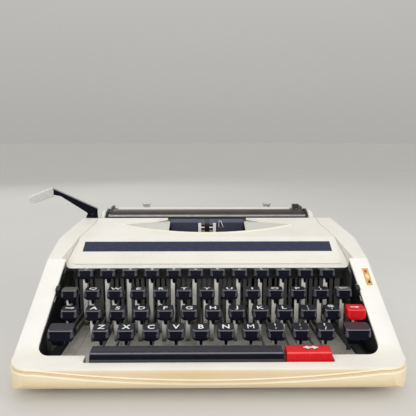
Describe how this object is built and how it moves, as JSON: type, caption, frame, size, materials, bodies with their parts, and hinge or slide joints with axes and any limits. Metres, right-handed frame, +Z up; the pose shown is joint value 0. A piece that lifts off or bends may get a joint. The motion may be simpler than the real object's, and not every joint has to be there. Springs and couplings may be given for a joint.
{
  "type": "portable typewriter",
  "caption": "Low portable typewriter with a hinged ribbon cover, lever keys in four rows, swinging type bar, sliding carriage, platen, paper bail and return lever.",
  "frame": {"origin": "on the table under the middle of the whole outline, with the return lever at rest", "axes": "+X to the typist's right, +Y from the typist to the back, +Z up"},
  "size_m": [0.327, 0.283, 0.1321],
  "materials": {
    "pan_plastic": "satin",
    "cream_plastic": "satin",
    "navy_stripe": "gloss",
    "foot_rubber": "matte",
    "platen_rubber": "satin",
    "dark_steel": "satin",
    "steel": "satin",
    "bright_steel": "gloss",
    "black_key": "gloss",
    "red_key": "gloss",
    "dark_red_key": "gloss",
    "white_plastic": "satin",
    "black_plastic": "satin"
  },
  "bodies": {
    "machine": {"base_pan": "pan_plastic", "rubber_feet": "foot_rubber", "keyboard_frame": "cream_plastic", "rear_casing": "cream_plastic", "chassis": "dark_steel", "lever_shaft": "steel", "lever_comb": "steel", "carriage_rail": "steel", "card_guide": "navy_stripe"},
    "cover": {"ribbon_cover": "cream_plastic", "cover_stripe": "navy_stripe"},
    "carriage": {"carriage_frame": "dark_steel", "paper_table": "cream_plastic", "margin_rail": "steel"},
    "platen_roller": {"platen": "platen_rubber", "platen_shaft": "steel", "platen_knobs": "cream_plastic"},
    "type_basket": {"type_segment": "steel", "type_bars": "steel"},
    "paper_bail_body": {"paper_bail": "bright_steel"},
    "return_lever_body": {"return_lever": "bright_steel"},
    "margin_stop_left_body": {"margin_stop_left": "bright_steel"},
    "margin_stop_right_body": {"margin_stop_right": "bright_steel"},
    "paper_release_lever_body": {"paper_release_lever": "black_plastic"},
    "ribbon_vibrator_body": {"ribbon_vibrator": "white_plastic"},
    "ribbon_spool_left_body": {"ribbon_spool_left": "black_plastic"},
    "ribbon_spool_right_body": {"ribbon_spool_right": "black_plastic"},
    "ribbon_selector_body": {"ribbon_selector": "black_plastic"},
    "touch_selector_body": {"touch_selector": "black_plastic"},
    "space_bar_body": {"space_bar": "black_key"},
    "repeat_bar_body": {"repeat_bar": "red_key"},
    "shift_keys_body": {"shift_keys": "black_key"},
    "shift_lock_body": {"shift_lock": "black_key"},
    "margin_release_key_body": {"margin_release_key": "black_key"},
    "backspace_key_body": {"backspace_key": "black_key"},
    "tab_key_body": {"tab_key": "red_key"},
    "number_row_keys_body": {"number_row_keys": "black_key"},
    "upper_row_keys_body": {"upper_row_keys": "black_key"},
    "centre_type_bar_body": {"centre_type_bar": "steel"},
    "key_a_body": {"key_a": "black_key"},
    "key_s_body": {"key_s": "black_key"},
    "key_d_body": {"key_d": "black_key"},
    "key_f_body": {"key_f": "black_key"},
    "key_g_body": {"key_g": "black_key"},
    "key_h_body": {"key_h": "black_key"},
    "key_j_body": {"key_j": "black_key"},
    "key_k_body": {"key_k": "black_key"},
    "key_l_body": {"key_l": "black_key"},
    "key_semicolon_body": {"key_semicolon": "black_key"},
    "key_accent_body": {"key_accent": "black_key"},
    "key_z_body": {"key_z": "black_key"},
    "key_x_body": {"key_x": "black_key"},
    "key_c_body": {"key_c": "black_key"},
    "key_v_body": {"key_v": "black_key"},
    "key_b_body": {"key_b": "black_key"},
    "key_n_body": {"key_n": "black_key"},
    "key_m_body": {"key_m": "black_key"},
    "key_comma_body": {"key_comma": "black_key"},
    "key_stop_body": {"key_stop": "black_key"},
    "key_slash_body": {"key_slash": "black_key"}
  },
  "joints": [
    {"name": "bail_lift", "type": "hinge", "parent": "carriage", "child": "paper_bail_body", "pos_m": [0.01948, 0.0985, 0.096], "axis": [-1, 0, 0], "range_deg": [0, 40]},
    {"name": "carriage_slide", "type": "slide", "parent": "machine", "child": "carriage", "axis": [-1, 0, 0], "range_m": [-0.095, 0.095]},
    {"name": "carriage_return_swing", "type": "hinge", "parent": "carriage", "child": "return_lever_body", "pos_m": [-0.10702, 0.0695, 0.094], "axis": [0, 0, 1], "range_deg": [0, 40], "stiffness_Nm_per_rad": 0.05, "springref_deg": -17.19},
    {"name": "cover_hinge", "type": "hinge", "parent": "machine", "child": "cover", "pos_m": [0.01948, 0.0535, 0.089], "axis": [-1, 0, 0], "range_deg": [0, 60]},
    {"name": "margin_left_slide", "type": "slide", "parent": "carriage", "child": "margin_stop_left_body", "axis": [1, 0, 0], "range_m": [-0.03, 0.06]},
    {"name": "margin_right_slide", "type": "slide", "parent": "carriage", "child": "margin_stop_right_body", "axis": [1, 0, 0], "range_m": [-0.06, 0.03]},
    {"name": "paper_release", "type": "hinge", "parent": "carriage", "child": "paper_release_lever_body", "pos_m": [0.11948, 0.1015, 0.084], "axis": [-1, 0, 0], "range_deg": [0, 12]},
    {"name": "platen_turn", "type": "hinge", "parent": "carriage", "child": "platen_roller", "pos_m": [0.01948, 0.0812, 0.09], "axis": [1, 0, 0], "continuous": true},
    {"name": "ribbon_lift", "type": "slide", "parent": "machine", "child": "ribbon_vibrator_body", "axis": [0, 0, 1], "range_m": [0, 0.007]},
    {"name": "spool_left_turn", "type": "hinge", "parent": "machine", "child": "ribbon_spool_left_body", "pos_m": [-0.06852, 0.0085, 0.057], "axis": [0, 0, 1], "continuous": true},
    {"name": "spool_right_turn", "type": "hinge", "parent": "machine", "child": "ribbon_spool_right_body", "pos_m": [0.10748, 0.0085, 0.057], "axis": [0, 0, 1], "continuous": true},
    {"name": "selector_left_slide", "type": "slide", "parent": "machine", "child": "touch_selector_body", "axis": [0, 0.8601, 0.5101], "range_m": [-0.006, 0.006]},
    {"name": "selector_right_slide", "type": "slide", "parent": "machine", "child": "ribbon_selector_body", "axis": [0, 0.8601, 0.5101], "range_m": [-0.006, 0.006]},
    {"name": "space_bar_press", "type": "hinge", "parent": "machine", "child": "space_bar_body", "pos_m": [0.01948, 0.0305, 0.0195], "axis": [1, 0, 0], "range_deg": [0, 2.5], "stiffness_Nm_per_rad": 0.4, "springref_deg": -17.19},
    {"name": "repeat_bar_press", "type": "hinge", "parent": "machine", "child": "repeat_bar_body", "pos_m": [0.01948, 0.0305, 0.0195], "axis": [1, 0, 0], "range_deg": [0, 2.5], "stiffness_Nm_per_rad": 0.4, "springref_deg": -17.19},
    {"name": "shift_press", "type": "hinge", "parent": "machine", "child": "shift_keys_body", "pos_m": [0.01948, 0.0305, 0.0195], "axis": [1, 0, 0], "range_deg": [0, 4], "stiffness_Nm_per_rad": 1.2, "springref_deg": -17.19},
    {"name": "basket_drop", "type": "slide", "parent": "machine", "child": "type_basket", "axis": [0, 0, -1], "range_m": [0, 0.006]},
    {"name": "shift_lock_press", "type": "hinge", "parent": "machine", "child": "shift_lock_body", "pos_m": [0.01948, 0.0305, 0.0195], "axis": [1, 0, 0], "range_deg": [0, 5], "stiffness_Nm_per_rad": 0.1, "springref_deg": -17.19},
    {"name": "margin_release_press", "type": "hinge", "parent": "machine", "child": "margin_release_key_body", "pos_m": [0.01948, 0.0305, 0.0195], "axis": [1, 0, 0], "range_deg": [0, 5], "stiffness_Nm_per_rad": 0.1, "springref_deg": -17.19},
    {"name": "backspace_press", "type": "hinge", "parent": "machine", "child": "backspace_key_body", "pos_m": [0.01948, 0.0305, 0.0195], "axis": [1, 0, 0], "range_deg": [0, 5], "stiffness_Nm_per_rad": 0.1, "springref_deg": -17.19},
    {"name": "tab_press", "type": "hinge", "parent": "machine", "child": "tab_key_body", "pos_m": [0.01948, 0.0305, 0.0195], "axis": [1, 0, 0], "range_deg": [0, 5], "stiffness_Nm_per_rad": 0.1, "springref_deg": -17.19},
    {"name": "number_row_press", "type": "hinge", "parent": "machine", "child": "number_row_keys_body", "pos_m": [0.01948, 0.0305, 0.0195], "axis": [1, 0, 0], "range_deg": [0, 5], "stiffness_Nm_per_rad": 1, "springref_deg": -17.19},
    {"name": "upper_row_press", "type": "hinge", "parent": "machine", "child": "upper_row_keys_body", "pos_m": [0.01948, 0.0305, 0.0195], "axis": [1, 0, 0], "range_deg": [0, 5], "stiffness_Nm_per_rad": 1, "springref_deg": -17.19},
    {"name": "typing_key_h", "type": "hinge", "parent": "machine", "child": "key_h_body", "pos_m": [0.01948, 0.0305, 0.0195], "axis": [1, 0, 0], "range_deg": [0, 5], "stiffness_Nm_per_rad": 0.1, "springref_deg": -17.19},
    {"name": "typing_key_a", "type": "hinge", "parent": "machine", "child": "key_a_body", "pos_m": [0.01948, 0.0305, 0.0195], "axis": [1, 0, 0], "range_deg": [0, 5], "stiffness_Nm_per_rad": 0.1, "springref_deg": -17.19},
    {"name": "typing_key_s", "type": "hinge", "parent": "machine", "child": "key_s_body", "pos_m": [0.01948, 0.0305, 0.0195], "axis": [1, 0, 0], "range_deg": [0, 5], "stiffness_Nm_per_rad": 0.1, "springref_deg": -17.19},
    {"name": "typing_key_d", "type": "hinge", "parent": "machine", "child": "key_d_body", "pos_m": [0.01948, 0.0305, 0.0195], "axis": [1, 0, 0], "range_deg": [0, 5], "stiffness_Nm_per_rad": 0.1, "springref_deg": -17.19},
    {"name": "typing_key_f", "type": "hinge", "parent": "machine", "child": "key_f_body", "pos_m": [0.01948, 0.0305, 0.0195], "axis": [1, 0, 0], "range_deg": [0, 5], "stiffness_Nm_per_rad": 0.1, "springref_deg": -17.19},
    {"name": "typing_key_g", "type": "hinge", "parent": "machine", "child": "key_g_body", "pos_m": [0.01948, 0.0305, 0.0195], "axis": [1, 0, 0], "range_deg": [0, 5], "stiffness_Nm_per_rad": 0.1, "springref_deg": -17.19},
    {"name": "typing_key_j", "type": "hinge", "parent": "machine", "child": "key_j_body", "pos_m": [0.01948, 0.0305, 0.0195], "axis": [1, 0, 0], "range_deg": [0, 5], "stiffness_Nm_per_rad": 0.1, "springref_deg": -17.19},
    {"name": "typing_key_k", "type": "hinge", "parent": "machine", "child": "key_k_body", "pos_m": [0.01948, 0.0305, 0.0195], "axis": [1, 0, 0], "range_deg": [0, 5], "stiffness_Nm_per_rad": 0.1, "springref_deg": -17.19},
    {"name": "typing_key_l", "type": "hinge", "parent": "machine", "child": "key_l_body", "pos_m": [0.01948, 0.0305, 0.0195], "axis": [1, 0, 0], "range_deg": [0, 5], "stiffness_Nm_per_rad": 0.1, "springref_deg": -17.19},
    {"name": "typing_key_semicolon", "type": "hinge", "parent": "machine", "child": "key_semicolon_body", "pos_m": [0.01948, 0.0305, 0.0195], "axis": [1, 0, 0], "range_deg": [0, 5], "stiffness_Nm_per_rad": 0.1, "springref_deg": -17.19},
    {"name": "typing_key_accent", "type": "hinge", "parent": "machine", "child": "key_accent_body", "pos_m": [0.01948, 0.0305, 0.0195], "axis": [1, 0, 0], "range_deg": [0, 5], "stiffness_Nm_per_rad": 0.1, "springref_deg": -17.19},
    {"name": "typing_key_z", "type": "hinge", "parent": "machine", "child": "key_z_body", "pos_m": [0.01948, 0.0305, 0.0195], "axis": [1, 0, 0], "range_deg": [0, 5], "stiffness_Nm_per_rad": 0.1, "springref_deg": -17.19},
    {"name": "typing_key_x", "type": "hinge", "parent": "machine", "child": "key_x_body", "pos_m": [0.01948, 0.0305, 0.0195], "axis": [1, 0, 0], "range_deg": [0, 5], "stiffness_Nm_per_rad": 0.1, "springref_deg": -17.19},
    {"name": "typing_key_c", "type": "hinge", "parent": "machine", "child": "key_c_body", "pos_m": [0.01948, 0.0305, 0.0195], "axis": [1, 0, 0], "range_deg": [0, 5], "stiffness_Nm_per_rad": 0.1, "springref_deg": -17.19},
    {"name": "typing_key_v", "type": "hinge", "parent": "machine", "child": "key_v_body", "pos_m": [0.01948, 0.0305, 0.0195], "axis": [1, 0, 0], "range_deg": [0, 5], "stiffness_Nm_per_rad": 0.1, "springref_deg": -17.19},
    {"name": "typing_key_b", "type": "hinge", "parent": "machine", "child": "key_b_body", "pos_m": [0.01948, 0.0305, 0.0195], "axis": [1, 0, 0], "range_deg": [0, 5], "stiffness_Nm_per_rad": 0.1, "springref_deg": -17.19},
    {"name": "typing_key_n", "type": "hinge", "parent": "machine", "child": "key_n_body", "pos_m": [0.01948, 0.0305, 0.0195], "axis": [1, 0, 0], "range_deg": [0, 5], "stiffness_Nm_per_rad": 0.1, "springref_deg": -17.19},
    {"name": "typing_key_m", "type": "hinge", "parent": "machine", "child": "key_m_body", "pos_m": [0.01948, 0.0305, 0.0195], "axis": [1, 0, 0], "range_deg": [0, 5], "stiffness_Nm_per_rad": 0.1, "springref_deg": -17.19},
    {"name": "typing_key_comma", "type": "hinge", "parent": "machine", "child": "key_comma_body", "pos_m": [0.01948, 0.0305, 0.0195], "axis": [1, 0, 0], "range_deg": [0, 5], "stiffness_Nm_per_rad": 0.1, "springref_deg": -17.19},
    {"name": "typing_key_stop", "type": "hinge", "parent": "machine", "child": "key_stop_body", "pos_m": [0.01948, 0.0305, 0.0195], "axis": [1, 0, 0], "range_deg": [0, 5], "stiffness_Nm_per_rad": 0.1, "springref_deg": -17.19},
    {"name": "typing_key_slash", "type": "hinge", "parent": "machine", "child": "key_slash_body", "pos_m": [0.01948, 0.0305, 0.0195], "axis": [1, 0, 0], "range_deg": [0, 5], "stiffness_Nm_per_rad": 0.1, "springref_deg": -17.19},
    {"name": "type_bar_swing", "type": "hinge", "parent": "type_basket", "child": "centre_type_bar_body", "pos_m": [0.02083, 0.0485, 0.03502], "axis": [-0.9997, 0, -0.0246], "range_deg": [0, 99]}
  ],
  "couplings": [
    {"joint": "spool_right_turn", "follows": "spool_left_turn", "ratio": 1},
    {"joint": "basket_drop", "follows": "shift_press", "m_per_rad": 0.0859},
    {"joint": "type_bar_swing", "follows": "typing_key_h", "ratio": 19.8}
  ]
}
